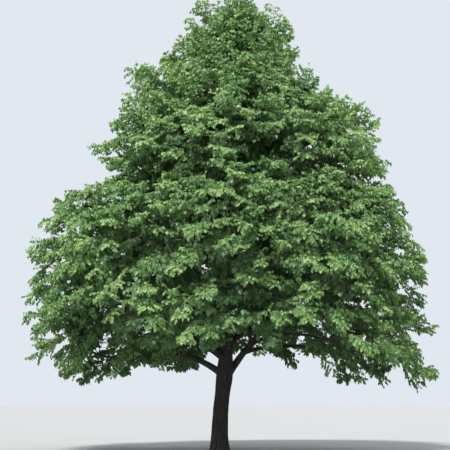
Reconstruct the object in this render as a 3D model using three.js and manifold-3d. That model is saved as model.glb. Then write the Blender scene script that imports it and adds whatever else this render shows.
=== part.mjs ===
// A small-leaved linden that stands alone in a field: its trunk and leader, its main boughs
// and the leafy masses of its crown, each a solid of its own.
// Millimetres, +Z up. The origin is the middle of the flat cut at ground level, under the trunk,
// and the tree is seen in front view along +Y.
import * as THREE from "three";
import { mergeVertices } from "three/addons/utils/BufferGeometryUtils.js";
import Module from "manifold-3d";

const wasm = await Module();
wasm.setup();

const TREE_HEIGHT = 15000;
const SEED = 13;
// Clearance between solids that meet, and between foliage and limbs that it passes
const GAP = 0.3;
const LIMB_CLEARANCE = 15;
// Corners of one geometry that lie closer than this are one point
const ONE_POINT = 1e-3;

// Trunk and leader
const LEADER_TOP = 12300;
const FORK_HEIGHT = 2450;
const GROUND_RADIUS = 280;
const LEADER_TIP_RADIUS = 34;
const TRUNK_TAPER = 1.05;
const FORK_SWELL = 48;
const FORK_SWELL_REACH = 480;
const ROOT_FLARE = 0.26;
const ROOT_FLARE_HEIGHT = 260;
const ROOT_LOBES = 5;
const ROOT_LOBE_DEPTH = 0.4;
const TRUNK_SIDES = 10;
const TRUNK_RINGS = 14;
const RING_CROWDING = 1.5;
// Heights on the trunk, and how far it has leaned to the right and back there
const LEAN_HEIGHTS = [0, 1300, 2450, 5000, 8500, 10600, 12500, TREE_HEIGHT];
const LEAN_RIGHT = [0, 60, 185, 340, 560, 740, 420, 640];
const LEAN_BACK = [0, 20, 30, -40, 60, 30, 0, 0];

// Crown outline: heights, and the crown's radius there. It is widest low down, with a waist above
const CROWN_HEIGHTS = [2050, 4000, 4900, 5700, 7100, 8000, 8800, 10600, 12500, 14300, TREE_HEIGHT];
const CROWN_RADII = [6450, 6650, 6500, 6850, 6750, 6350, 5200, 4750, 3400, 2000, 700];
const PROFILE_STEPS = 400;
// Places across the crown, from left to right, and the height of its hanging underside there
const UNDERSIDE_PLACES = [-6600, -5200, -4300, -2300, 2300, 4200, 7300];
const UNDERSIDE_HEIGHTS = [3500, 2250, 2050, 3150, 3150, 2050, 2250];

// Leafy masses, dealt round the crown by the golden angle. The first few share the lowest height,
// where those in front and behind are lifted clear of the fork
const MASS_COUNT = 28;
const SHARED_FROM = 1700;
const LOWEST_CENTRE = 3400;
const HIGHEST_CENTRE = 12900;
const FRONT_LIFT = 1000;
const FIRST_BEARING = THREE.MathUtils.degToRad(178);
const GOLDEN_ANGLE = Math.PI * (3 - Math.sqrt(5));
const MASS_DEPTH = 2000;
const MASS_WIDTH = 2450;
const MASS_HEIGHT = 1950;
const MASS_INSET = 1500;
const INSET_SHRINK = 0.28;
const MASS_SHRINK = 0.05;
const LEAST_REACH = 700;
const BEARING_SCATTER = 0.2;
const HEIGHT_SCATTER = 300;
const REACH_SCATTER = 300;
const TOP_MASS_DROP = 1600;
const TOP_MASS_HEIGHT = 1800;
const TOP_MASS_WIDTH = 1800;
const CELL_GAP = 25;

// Boughs
const LOWEST_BOUGH = 2720;
const HIGHEST_BOUGH = 9600;
const BOUGH_CLIMB = 1.75;
const BOUGH_SHARE = 0.43;
const BOUGH_TIP_SHARE = 0.42;
const BOUGH_COLLAR = 0.4;
const BOUGH_COLLAR_REACH = 0.07;
const BOUGH_ARCH = 0.13;
const BOUGH_ELBOW = 0.45;
const BOUGH_ENTRY = 0.62;
const BOUGH_ENTRY_DROP = 0.2;
const BOUGH_SIDES = 5;
const BOUGH_RINGS = 5;
// The low left-hand bough leaves at the fork and rises more
const LEFT_LIMB_HEIGHT = 2380;
const LEFT_LIMB_ARCH = 0.26;
// The stout right-hand limb leaves at the fork, and two low right-hand boughs leave that limb, at
// these shares of its length
const FORK_LIMB = 12;
const FORK_LIMB_HEIGHT = 2240;
const FORK_LIMB_RADIUS = 118;
const FORK_LIMB_STEEPNESS = 0.65;
const FORKED_BOUGHS = [4, 1];
const FORKED_AT = [0.2, 0.26];
const FORKED_SHARE = 0.62;

// Stems and twigs. Places are shares of a mass's size, or of the way along the stem
const STEM_END = 0.5;
const STEM_RISE = 0.1;
const STEM_BEND = 0.33;
const STEM_TIP_RADIUS = 36;
const STEM_SIDES = 4;
const STEM_RINGS = 3;
const TWIGS = 6;
const TWIG_COVER = 1.3;
const TWIG_REACH = 0.84;
const TWIG_INNER_LIMIT = -0.6;
const TWIG_PULL_BACK = 0.35;
const TWIG_FIRST = 0.1;
const TWIG_LAST = 0.85;
const TWIG_CUTS = [1, 0.86, 0.72, 0.58, 0.44];
const TWIG_RADIUS = 22;
const TWIG_TIP_RADIUS = 20;
const TWIG_SIDES = 3;
const TWIG_RINGS = 1;

// Sprays: each is one blade, larger than a single leaf, that stands for many
const SPRAY_LIMIT = 18;
const SPRAY_PLACES = [0.98, 0.66, 0.36];
const SPRAY_LENGTH = 1800;
const SPRAY_WIDTH = 0.95;
const SPRAY_SHOULDER = 0.4;
const SPRAY_FOLD = 0.04;
const SPRAY_SINK = 4;
const SPRAY_DROOP = 1;
const SPRAY_LIFT = 0.7;
const SPRAY_TILT = 0.3;
const SPRAY_SPREAD = 2.4;
const SPRAY_TRIES = 80;
const SPRAY_LEAST = 0.5;
const FACING_BIAS = 300;

const UP = new THREE.Vector3(0, 0, 1);
const BARK = new THREE.MeshStandardMaterial({ color: 0x453f37, roughness: 0.95, metalness: 0 });
const LEAF = new THREE.MeshStandardMaterial({ color: 0x65844a, roughness: 0.6, metalness: 0 });
const { clamp, lerp } = THREE.MathUtils;

// A number from 0 to 1 that looks random, and is the same for the same draw and seed.
function chance(draw, seed) {
  const wave = Math.sin(draw * 12.9898 + seed * 78.233) * 43758.5453;
  return wave - Math.floor(wave);
}

// The same, from -1 to 1.
const scatter = (draw, seed) => 2 * chance(draw, seed) - 1;

// The value at x of a smooth line through the points (xs, ys).
function smoothLine(xs, ys, x) {
  const last = xs.length - 2;
  let i = 0;
  while (i < last && x > xs[i + 1]) i += 1;
  const t = clamp((x - xs[i]) / (xs[i + 1] - xs[i]), 0, 1);
  const slope = (k) => {
    const from = Math.max(k - 1, 0);
    const to = Math.min(k + 1, xs.length - 1);
    return ((ys[to] - ys[from]) / (xs[to] - xs[from])) * (xs[i + 1] - xs[i]);
  };
  const [a, b, c, d] = [ys[i], slope(i), ys[i + 1], slope(i + 1)];
  return a + b * t + (3 * (c - a) - 2 * b - d) * t ** 2 + (2 * (a - c) + b + d) * t ** 3;
}

// The middle of the trunk, and of the crown, at a height.
function axisAt(z) {
  const right = smoothLine(LEAN_HEIGHTS, LEAN_RIGHT, z);
  return new THREE.Vector3(right, smoothLine(LEAN_HEIGHTS, LEAN_BACK, z), z);
}

// Crown radius at a height, and the height of the crown's underside at a place across it.
const crownRadius = (z) => smoothLine(CROWN_HEIGHTS, CROWN_RADII, z);
const undersideAt = (x) => smoothLine(UNDERSIDE_PLACES, UNDERSIDE_HEIGHTS, x);

// Trunk radius: an even taper, a swelling where the boughs fork, and a lobed flare over the roots.
function trunkRadius(z, bearing) {
  const taper = (1 - z / LEADER_TOP) ** TRUNK_TAPER;
  const swell = FORK_SWELL * Math.exp(-(((z - FORK_HEIGHT) / FORK_SWELL_REACH) ** 2));
  const lobes = 1 + ROOT_LOBE_DEPTH * Math.cos(ROOT_LOBES * bearing);
  const flare = 1 + ROOT_FLARE * lobes * Math.exp(-z / ROOT_FLARE_HEIGHT);
  return (LEADER_TIP_RADIUS + (GROUND_RADIUS - LEADER_TIP_RADIUS) * taper + swell) * flare;
}

// A closed geometry as a solid.
function solidOf(geometry) {
  geometry.deleteAttribute("normal");
  geometry.deleteAttribute("uv");
  const merged = mergeVertices(geometry, ONE_POINT);
  return new wasm.Manifold(
    new wasm.Mesh({
      numProp: 3,
      vertProperties: merged.attributes.position.array,
      triVerts: new Uint32Array(merged.index.array),
    }),
  );
}

// A solid as a named mesh. Loose scraps are dropped, so that one body is left.
function meshOf(name, solid, material) {
  const body = solid.decompose().reduce((a, b) => (b.volume() > a.volume() ? b : a));
  const { vertProperties, triVerts } = body.getMesh();
  const geometry = new THREE.BufferGeometry();
  geometry.setAttribute("position", new THREE.BufferAttribute(vertProperties, 3));
  geometry.setIndex(new THREE.BufferAttribute(triVerts, 1));
  geometry.computeVertexNormals();
  const mesh = new THREE.Mesh(geometry, material);
  mesh.name = name;
  return mesh;
}

// Whether two solids meet.
function meets(a, b) {
  const [one, two] = [a.boundingBox(), b.boundingBox()];
  const apart = [0, 1, 2].some((k) => one.min[k] > two.max[k] || two.min[k] > one.max[k]);
  return !apart && !a.intersect(b).isEmpty();
}

// A closed cylinder whose points are moved by place(share of its height, bearing, on its axis or not).
function shapedCylinder(sides, rings, place) {
  const geometry = new THREE.CylinderGeometry(1, 1, 1, sides, rings);
  const position = geometry.attributes.position;
  const point = new THREE.Vector3();
  for (let i = 0; i < position.count; i += 1) {
    point.fromBufferAttribute(position, i);
    const onAxis = Math.hypot(point.x, point.z) < 0.5;
    const moved = place(point.y + 0.5, Math.atan2(point.x, point.z), onAxis);
    position.setXYZ(i, moved.x, moved.y, moved.z);
  }
  return geometry;
}

// The trunk and leader as level rings round the leaning axis, so that its foot is a flat cut.
function trunkSolid(grown) {
  const place = (share, bearing, onAxis) => {
    const z = share ** RING_CROWDING * LEADER_TOP;
    const radius = onAxis ? 0 : trunkRadius(z, bearing) + grown;
    const end = share === 0 ? -1 : Math.floor(share);
    const side = new THREE.Vector3(Math.cos(bearing), Math.sin(bearing), 0);
    return axisAt(z).addScaledVector(side, radius).addScaledVector(UP, grown * end);
  };
  return solidOf(shapedCylinder(TRUNK_SIDES, TRUNK_RINGS, place));
}

// A limb: rings square to a curve, with the radius given by the share of the way along it.
function limbSolid(curve, radiusAt, sides, rings) {
  const frames = curve.computeFrenetFrames(rings, false);
  const place = (share, bearing, onAxis) => {
    const ring = Math.round(share * rings);
    const radius = onAxis ? 0 : radiusAt(share);
    return curve
      .getPointAt(share)
      .addScaledVector(frames.normals[ring], radius * Math.cos(bearing))
      .addScaledVector(frames.binormals[ring], radius * Math.sin(bearing));
  };
  return solidOf(shapedCylinder(sides, rings, place));
}

// The point a share of the way along a limb's straight pieces, from ring to ring.
function pointOnLimb(curve, rings, share) {
  const ring = Math.min(Math.floor(share * rings), rings - 1);
  const [from, to] = [curve.getPointAt(ring / rings), curve.getPointAt((ring + 1) / rings)];
  return from.lerp(to, share * rings - ring);
}

// Heights that share the crown's outer surface out evenly, up to the highest centre.
function evenHeights(count) {
  const step = (HIGHEST_CENTRE - SHARED_FROM) / PROFILE_STEPS;
  const areas = [0];
  for (let i = 0; i < PROFILE_STEPS; i += 1) {
    const z = SHARED_FROM + (i + 0.5) * step;
    const slope = (crownRadius(z + step) - crownRadius(z)) / step;
    areas.push(areas[i] + crownRadius(z) * Math.hypot(1, slope));
  }
  return Array.from({ length: count }, (_, n) => {
    const wanted = ((n + 0.5) / count) * areas[PROFILE_STEPS];
    const i = areas.findIndex((area) => area >= wanted);
    return Math.max(SHARED_FROM + i * step, LOWEST_CENTRE);
  });
}

// The masses' places and sizes, from the lowest upwards, with the top mass last.
function planMasses() {
  const masses = evenHeights(MASS_COUNT).map((height, n) => {
    const bearing = FIRST_BEARING + n * GOLDEN_ANGLE + BEARING_SCATTER * scatter(n, SEED);
    const low = 1 - (height - LOWEST_CENTRE) / (HIGHEST_CENTRE - LOWEST_CENTRE);
    const lift = FRONT_LIFT * low ** 2 * Math.sin(bearing) ** 2;
    const z = height + lift + HEIGHT_SCATTER * low * scatter(n, SEED + 1);
    const outward = new THREE.Vector3(Math.cos(bearing), Math.sin(bearing), 0);
    const inset = MASS_INSET * (1 - INSET_SHRINK * (1 - low)) + REACH_SCATTER * chance(n, SEED + 2);
    const reach = Math.max(crownRadius(z) - inset, LEAST_REACH);
    const radii = new THREE.Vector3(MASS_DEPTH, MASS_WIDTH, MASS_HEIGHT);
    return {
      number: n,
      low,
      outward,
      centre: axisAt(z).addScaledVector(outward, reach),
      radii: radii.multiplyScalar(1 - MASS_SHRINK * (1 - low)),
    };
  });
  masses.push({
    number: MASS_COUNT,
    low: 0,
    outward: new THREE.Vector3(1, 0, 0),
    centre: axisAt(TREE_HEIGHT - TOP_MASS_DROP),
    radii: new THREE.Vector3(TOP_MASS_WIDTH, TOP_MASS_WIDTH, TOP_MASS_HEIGHT),
  });
  return masses;
}

// A point of a mass from shares of its depth, width and height.
function pointIn(mass, out, side, up) {
  const across = new THREE.Vector3().crossVectors(UP, mass.outward);
  return mass.centre
    .clone()
    .addScaledVector(mass.outward, out * mass.radii.x)
    .addScaledVector(across, side * mass.radii.y)
    .addScaledVector(UP, up * mass.radii.z);
}

// Whether a point is in a mass's own space: inside the crown and the mass's round outline, and nearer
// to its centre than to any other.
function isOwn(mass, masses, point) {
  const from = point.clone().sub(mass.centre);
  const across = new THREE.Vector3().crossVectors(UP, mass.outward);
  const shares = [from.dot(mass.outward), from.dot(across), from.z];
  const round = shares.reduce((sum, share, k) => sum + (share / mass.radii.getComponent(k)) ** 2, 0);
  const middle = axisAt(point.z);
  const inCrown =
    point.z > undersideAt(point.x) &&
    point.z < TREE_HEIGHT &&
    Math.hypot(point.x - middle.x, point.y - middle.y) < crownRadius(point.z);
  const nearest = masses.every((other) => {
    if (other === mass) return true;
    const way = other.centre.clone().sub(mass.centre);
    return from.dot(way) < (way.length() / 2 - CELL_GAP) * way.length();
  });
  return round <= 1 && inCrown && nearest;
}

// A bough's line: out of the trunk's middle, up over an elbow, and into its mass.
function boughLine(mass, start, arch) {
  const tip = pointIn(mass, -BOUGH_ENTRY, 0, -BOUGH_ENTRY_DROP);
  const elbow = start.clone().lerp(tip, BOUGH_ELBOW);
  elbow.z += arch * start.distanceTo(tip);
  return new THREE.QuadraticBezierCurve3(start, elbow, tip);
}

// A bough's radius along it: a collar at its foot, then an even taper.
function boughTaper(foot) {
  return (share) => {
    const collar = 1 + BOUGH_COLLAR * Math.exp(-share / BOUGH_COLLAR_REACH);
    return foot * (1 - (1 - BOUGH_TIP_SHARE) * share) * collar;
  };
}

// The boughs' lines and radii, one for each mass but the top one, which sits on the leader's tip.
function planBoughs(masses) {
  const boughs = masses.slice(0, MASS_COUNT).map((mass) => {
    const up = (mass.number / (MASS_COUNT - 1)) ** BOUGH_CLIMB;
    const height = lerp(LOWEST_BOUGH, HIGHEST_BOUGH, up);
    const foot = BOUGH_SHARE * trunkRadius(height, 0);
    return { line: boughLine(mass, axisAt(height), BOUGH_ARCH), foot, parent: null };
  });
  boughs[0].line = boughLine(masses[0], axisAt(LEFT_LIMB_HEIGHT), LEFT_LIMB_ARCH);
  const limb = boughs[FORK_LIMB];
  limb.line = boughLine(masses[FORK_LIMB], axisAt(FORK_LIMB_HEIGHT), 0);
  limb.line.v1.z += FORK_LIMB_STEEPNESS * (limb.line.v2.z - FORK_LIMB_HEIGHT) * BOUGH_ELBOW;
  limb.foot = FORK_LIMB_RADIUS;
  FORKED_BOUGHS.forEach((number, k) => {
    const forked = boughs[number];
    forked.line = boughLine(masses[number], limb.line.getPointAt(FORKED_AT[k]), BOUGH_ARCH);
    forked.foot = FORK_LIMB_RADIUS * FORKED_SHARE;
    forked.parent = limb;
  });
  return boughs;
}

// A bough, cut clear of the trunk and of the limb that it leaves.
function boughSolid(bough, trunkGrown, grown) {
  const taper = boughTaper(bough.foot);
  const whole = limbSolid(bough.line, (share) => taper(share) + grown, BOUGH_SIDES, BOUGH_RINGS);
  const cut = whole.subtract(trunkGrown);
  return bough.parent ? cut.subtract(boughSolid(bough.parent, trunkGrown, grown + GAP)) : cut;
}

// A mass's stem: it carries on from its bough's tip, or from the leader's level top, and bends out
// into the mass.
function planStem(mass, bough) {
  const start = bough ? bough.line.getPoint(1) : axisAt(LEADER_TOP);
  const heading = bough ? bough.line.getTangent(1) : UP;
  start.addScaledVector(heading, GAP);
  const end = pointIn(mass, bough ? STEM_END : 0, 0, STEM_RISE);
  const bend = start.clone().addScaledVector(heading, STEM_BEND * start.distanceTo(end));
  return {
    line: new THREE.QuadraticBezierCurve3(start, bend, end),
    foot: bough ? boughTaper(bough.foot)(1) : LEADER_TIP_RADIUS,
    rings: STEM_RINGS,
  };
}

function stemSolid(stem, grown) {
  const radiusAt = (share) => lerp(stem.foot, STEM_TIP_RADIUS, share) + grown;
  return limbSolid(stem.line, radiusAt, STEM_SIDES, STEM_RINGS);
}

// A mass's twigs: their ends are spread evenly over the mass by the golden angle, from its top down
// and away from its bough, and each leaves the stem a little behind the place nearest to its end.
// A twig that would leave the mass's space is cut short.
function planTwigs(mass, stem, own) {
  const turn = 2 * Math.PI * chance(mass.number, SEED + 3);
  const { v0, v2 } = stem.line;
  const run = v2.clone().sub(v0);
  const twigs = [];
  for (let k = 0; k < TWIG_COVER * TWIGS && twigs.length < TWIGS; k += 1) {
    const up = 1 - (2 * k + 1) / (TWIG_COVER * TWIGS);
    const level = Math.sqrt(Math.max(1 - up ** 2, 0));
    const out = level * Math.cos(k * GOLDEN_ANGLE + turn);
    const across = level * Math.sin(k * GOLDEN_ANGLE + turn);
    const tip = pointIn(mass, out * TWIG_REACH, across * TWIG_REACH, up * TWIG_REACH);
    const nearest = tip.clone().sub(v0).dot(run) / run.lengthSq();
    const place = clamp(nearest - TWIG_PULL_BACK, TWIG_FIRST, TWIG_LAST);
    const root = pointOnLimb(stem.line, STEM_RINGS, place);
    const cut = TWIG_CUTS.find((share) => own(root.clone().lerp(tip, share)));
    if (out < TWIG_INNER_LIMIT || !cut) continue;
    twigs.push({ line: new THREE.LineCurve3(root, root.clone().lerp(tip, cut)), rings: TWIG_RINGS });
  }
  return twigs;
}

// One spray: a kite-shaped blade, folded up along its rib, with its root sunk in the twig at foot.
// It runs along the way given, with its face turned as near as it can be to facing.
function sprayShape(foot, way, facing, length) {
  const geometry = new THREE.TetrahedronGeometry(1);
  const position = geometry.attributes.position;
  const along = way.clone().normalize();
  const side = new THREE.Vector3().crossVectors(along, facing).normalize();
  const face = new THREE.Vector3().crossVectors(side, along);
  for (let i = 0; i < position.count; i += 1) {
    const right = Math.sign(position.getX(i));
    const onRib = position.getZ(i) < 0;
    const ribEnd = right < 0 ? 1 : 0;
    const moved = foot
      .clone()
      .addScaledVector(along, (onRib ? ribEnd : SPRAY_SHOULDER) * length - SPRAY_SINK)
      .addScaledVector(side, onRib ? 0 : (right * SPRAY_WIDTH * length) / 2)
      .addScaledVector(face, onRib ? 0 : SPRAY_FOLD * length);
    position.setXYZ(i, moved.x, moved.y, moved.z);
  }
  return geometry;
}

// Whether every point of a geometry passes a test.
function everyPoint(geometry, test) {
  const { position } = geometry.attributes;
  const places = Array.from({ length: position.count }, (_, i) => i);
  return places.every((i) => test(new THREE.Vector3().fromBufferAttribute(position, i)));
}

// The spray at a place on a twig: it lies over the mass like a shingle, hanging low in the crown and
// rising near its top. It is turned and shortened until it is in its space and clear of all others.
function findSpray(mass, root, draw, own, clear) {
  const facing = root.clone().sub(mass.centre).addScaledVector(mass.outward, FACING_BIAS).normalize();
  const side = new THREE.Vector3().crossVectors(facing, UP).normalize();
  const rise = new THREE.Vector3().crossVectors(side, facing);
  const slope = lerp(SPRAY_LIFT, -SPRAY_DROOP, mass.low);
  for (let n = 0; n < SPRAY_TRIES; n += 1) {
    const share = n / SPRAY_TRIES;
    const turn = SPRAY_SPREAD * scatter(draw + n, SEED + 4) * Math.sqrt(share);
    const way = facing.clone().multiplyScalar(SPRAY_TILT);
    way.addScaledVector(rise, slope).addScaledVector(side, turn);
    const shape = sprayShape(root, way, facing, SPRAY_LENGTH * lerp(1, SPRAY_LEAST, share));
    if (!everyPoint(shape, own)) continue;
    const spray = solidOf(shape);
    if (clear(spray)) return spray;
  }
  return null;
}

// A mass: stem, twigs and sprays in one. A twig or spray that would touch a limb is skipped, and so is
// a twig that bears no spray.
function massSolid(mass, masses, stem, obstacles) {
  const own = (point) => isOwn(mass, masses, point);
  const free = (solid) => !obstacles.some((other) => meets(solid, other));
  const twigRadius = (share) => lerp(TWIG_RADIUS, TWIG_TIP_RADIUS, share);
  const twigs = planTwigs(mass, stem, own)
    .map((twig) => ({ ...twig, solid: limbSolid(twig.line, twigRadius, TWIG_SIDES, TWIG_RINGS) }))
    .filter((twig) => free(twig.solid));
  const wood = [{ ...stem, solid: stemSolid(stem, 0) }, ...twigs];

  const sprays = [];
  const leafy = new Set([wood[0]]);
  SPRAY_PLACES.forEach((place, row) =>
    wood.forEach((limb, k) => {
      if (sprays.length === SPRAY_LIMIT) return;
      const others = wood.filter((other) => other !== limb).map((other) => other.solid);
      const clear = (spray) => free(spray) && ![...others, ...sprays].some((other) => meets(spray, other));
      const root = pointOnLimb(limb.line, limb.rings, place);
      const draw = SPRAY_TRIES * (wood.length * row + k) + mass.number;
      const spray = findSpray(mass, root, draw, own, clear);
      if (!spray) return;
      sprays.push(spray);
      leafy.add(limb);
    }),
  );
  return wasm.Manifold.union([...[...leafy].map((limb) => limb.solid), ...sprays]);
}

function buildTree() {
  const tree = new THREE.Group();
  const trunkGrown = trunkSolid(GAP);
  tree.add(meshOf("trunk", trunkSolid(0), BARK));

  const masses = planMasses();
  const boughs = planBoughs(masses);
  const label = (n) => String(n + 1).padStart(2, "0");
  boughs.forEach((bough, n) => {
    tree.add(meshOf(`bough_${label(n)}`, boughSolid(bough, trunkGrown, 0), BARK));
  });

  const limbs = wasm.Manifold.union([
    trunkSolid(LIMB_CLEARANCE),
    ...boughs.map((bough) => boughSolid(bough, trunkGrown, LIMB_CLEARANCE)),
  ]);
  const stems = masses.map((mass) => planStem(mass, boughs[mass.number]));
  const stemsGrown = stems.map((stem) => stemSolid(stem, LIMB_CLEARANCE));
  masses.forEach((mass, n) => {
    const obstacles = [limbs, ...stemsGrown.filter((_, k) => k !== n)];
    tree.add(meshOf(`foliage_${label(n)}`, massSolid(mass, masses, stems[n], obstacles), LEAF));
  });
  return tree;
}

export default buildTree();
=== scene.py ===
"""A small-leaved linden in summer leaf: its bark, twigs and leaves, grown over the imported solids.

Metres, +Z up. The origin is the middle of the flat cut under the trunk, and the front view looks along +Y.
"""

import math
from types import SimpleNamespace

import bpy
import numpy as np
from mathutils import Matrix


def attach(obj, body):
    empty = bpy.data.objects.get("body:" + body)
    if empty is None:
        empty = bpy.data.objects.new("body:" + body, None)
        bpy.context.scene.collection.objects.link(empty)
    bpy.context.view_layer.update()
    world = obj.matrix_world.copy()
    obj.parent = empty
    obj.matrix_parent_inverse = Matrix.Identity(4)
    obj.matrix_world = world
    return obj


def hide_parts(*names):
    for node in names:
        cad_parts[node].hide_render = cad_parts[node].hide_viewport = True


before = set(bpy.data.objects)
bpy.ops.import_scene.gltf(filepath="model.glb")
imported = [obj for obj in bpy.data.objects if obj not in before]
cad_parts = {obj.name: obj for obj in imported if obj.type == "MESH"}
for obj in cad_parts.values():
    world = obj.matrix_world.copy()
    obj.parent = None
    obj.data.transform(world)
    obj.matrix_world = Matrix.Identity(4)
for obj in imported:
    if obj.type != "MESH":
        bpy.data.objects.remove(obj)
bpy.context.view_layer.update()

bl_info = {
    "name": "Small-leaved linden",
    "version": (1, 0, 0),
    "blender": (4, 5, 0),
    "location": "View3D > Sidebar > Linden",
    "description": "Grows the bark, twigs and leaves of a free-standing linden and sets its stage",
    "category": "Object",
}

UP = np.array([0.0, 0.0, 1.0])
GOLDEN_ANGLE = math.pi * (3 - math.sqrt(5))
# Draws: the first seed, from which each kind of draw counts on, and the sine that they are made from
SEED = 13
DRAW_TURN = 12.9898
SEED_TURN = 78.233
WAVE_HEIGHT = 43758.5453

# Trunk and leader
TREE_HEIGHT = 15.0
LEADER_TOP = 12.3
FORK_HEIGHT = 2.45
GROUND_RADIUS = 0.28
LEADER_TIP_RADIUS = 0.034
TRUNK_TAPER = 1.05
FORK_SWELL = 0.048
FORK_SWELL_REACH = 0.48
ROOT_FLARE = 0.26
ROOT_FLARE_HEIGHT = 0.26
ROOT_LOBES = 5
ROOT_LOBE_DEPTH = 0.4
RING_CROWDING = 1.5
LEADER_SMOOTHING = 0.5
LEAN_HEIGHTS = [0, 1.3, 2.45, 5.0, 8.5, 10.6, 12.5, TREE_HEIGHT]
LEAN_RIGHT = [0, 0.06, 0.185, 0.34, 0.56, 0.74, 0.42, 0.64]
LEAN_BACK = [0, 0.02, 0.03, -0.04, 0.06, 0.03, 0, 0]

# Bark: the bends of its ridges, each with its size, turns up and round, and start, then the second family
# of ridges that crosses the first, the plates, and the tones of a tube's two ends
BARK_BENDS = [[1.5, 2.3, 2, 0], [1.0, 5.9, -3, 1.3]]
CROSS_BEND = 0.8
CROSS_LEAN = 1.1
CROSS_LEAST = 0.45
RIDGE_POWER = 0.7
PLATE_DEPTH = 0.15
PLATE_TURNS = 9.7
PLATE_BEND = 4
PLATE_LOBES = 3
CAP_TONES = [0.5, 0.5]

# Crown outline, and its hanging underside from left to right, at the sides and at the front
CROWN_HEIGHTS = [2.05, 4.0, 4.9, 5.7, 7.1, 8.0, 8.8, 10.6, 12.5, 14.3, TREE_HEIGHT]
CROWN_RADII = [6.45, 6.65, 6.5, 6.85, 6.75, 6.35, 5.2, 4.75, 3.4, 2.0, 0.7]
PROFILE_STEPS = 400
SLOPE_STEP = 0.1
UNDERSIDE_PLACES = [-6.6, -5.2, -4.3, -2.6, -1.7, -0.9, -0.3, 0.3, 1.3, 1.75, 2.9, 4.2, 7.3]
UNDERSIDE_HEIGHTS = [3.5, 2.3, 2.1, 2.65, 2.85, 2.8, 3.2, 3.4, 3.5, 3.0, 2.8, 2.1, 2.3]
CROWN_FOOT = min(UNDERSIDE_HEIGHTS)
FRONT_PLACES = [-6.6, -5.4, -4.6, -3.6, -2.4, -1.3, 0, 1.1, 2.0, 3.4, 4.2, 7.3]
FRONT_HEIGHTS = [3.0, 3.2, 3.75, 3.6, 3.7, 3.2, 3.05, 3.05, 3.25, 3.4, 2.6, 2.3]
FRONT_FROM = 1.0
FRONT_FULL = 4.0

# Leafy masses
MASS_COUNT = 28
SHARED_FROM = 1.7
LOWEST_CENTRE = 3.4
HIGHEST_CENTRE = 12.9
FRONT_LIFT = 1.0
FIRST_BEARING = math.radians(178)
MASS_SIZE = np.array([2.0, 2.45, 1.95])
MASS_INSET = 1.5
INSET_SHRINK = 0.28
MASS_SHRINK = 0.05
LEAST_REACH = 0.7
BEARING_SCATTER = 0.2
HEIGHT_SCATTER = 0.3
REACH_SCATTER = 0.3
TOP_MASS_DROP = 1.6
TOP_MASS_SIZE = 1.8
CELL_GAP = 0.025

# Boughs, counted from 0. The first, a low left-hand limb, and the stout right-hand limb leave at the fork,
# and two boughs leave the right-hand one
LOWEST_BOUGH = 2.72
HIGHEST_BOUGH = 9.6
BOUGH_CLIMB = 1.75
BOUGH_SHARE = 0.43
BOUGH_TIP_SHARE = 0.42
BOUGH_COLLAR = 0.4
BOUGH_COLLAR_REACH = 0.07
BOUGH_ARCH = 0.13
BOUGH_ELBOW = 0.45
BOUGH_ENTRY = 0.62
BOUGH_ENTRY_DROP = 0.2
LEFT_LIMB_HEIGHT = 2.38
LEFT_LIMB_ARCH = 0.26
FORK_LIMB = 12
FORK_LIMB_HEIGHT = 2.24
FORK_LIMB_RADIUS = 0.118
FORK_LIMB_STEEPNESS = 0.65
FORKED_BOUGHS = [4, 1]
FORKED_AT = [0.2, 0.26]
FORKED_SHARE = 0.62
PATH_STEPS = 200
BOUGH_RINGS = 64
BOUGH_SIDES = 26
BOUGH_START = 0.02
BOUGH_RIDGES = 9
BOUGH_RIDGE_DEPTH = 0.1
BOUGH_SWAY = 0.64
BOUGH_SWAYS = 5

# Stems and twigs, and how steep a tube has to run for its sides to be taken from X and not from up
STEM_END = 0.1
STEM_RISE = 0.1
STEM_BEND = 0.33
STEM_TIP_RADIUS = 0.03
STEM_RINGS = 8
STEM_SIDES = 8
TWIG_COVER = 1.3
TWIG_REACH = 0.84
TWIG_INNER_LIMIT = -0.6
TWIG_PULL_BACK = 0.35
TWIG_FIRST = 0.1
TWIG_LAST = 0.85
TWIG_CUTS = [1, 0.86, 0.72, 0.58, 0.44]
TWIG_DEPTH = 0.75
TWIG_LIFT = 0.2
TWIG_ARCH = 0.1
TWIG_RADIUS = 0.019
TWIG_TIP_RADIUS = 0.007
TWIG_RINGS = 6
TWIG_SIDES = 5
STEEP_HEADING = 0.9

# Plumes are leafy shoots. Their tips are spread over the crown by the golden angle, in layers, and keep to
# this outline
TIP_HEIGHTS = [2.05, 3.5, 4.6, 5.4, 6.6, 7.8, 8.3, 8.7, 9.8, 11.0, 12.0, 12.8, 13.2, 14.0, TREE_HEIGHT]
TIP_RADII = [5.75, 6.25, 6.1, 6.4, 6.2, 5.8, 5.2, 4.8, 4.6, 3.95, 3.1, 2.65, 2.15, 1.78, 0.8]
LAYER_DEPTHS = np.array([0, 0.6, 0, 1.4, 0, 1.0, 0, 2.6, 0, 1.8, 0, 4.2, 3.4, 1.2])
SKIRT_LEAN = 0.11
SKIRT_TOP = 4.2
TOP_LEAN = 0.03
TOP_LEAN_FROM = 8.0
TOP_LEAN_FULL = TOP_LEAN_FROM + 1.0
WAIST_WAVE = 0.45
WAIST_WAVES = 5
# Where the outline stands further in: on the right (1) or left (-1), by what share, and the height and reach
PINCHES = [[1, 0.09, 7.8, 1.6], [-1, 0.15, 8.65, 0.42]]
TIP_SCATTER = 0.22
TIP_TURN = 0.05
TIP_LEAST_REACH = 0.15
LONG_SHOOTS = 0.11
LONG_SHOOT_REACH = 0.045
UNDERSIDE_SCATTER = 0.18
AIRY_BELOW = 3.9
AIRY_SHARES = (0.25, 0.42)
AIRY_RISE = 4.0

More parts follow.
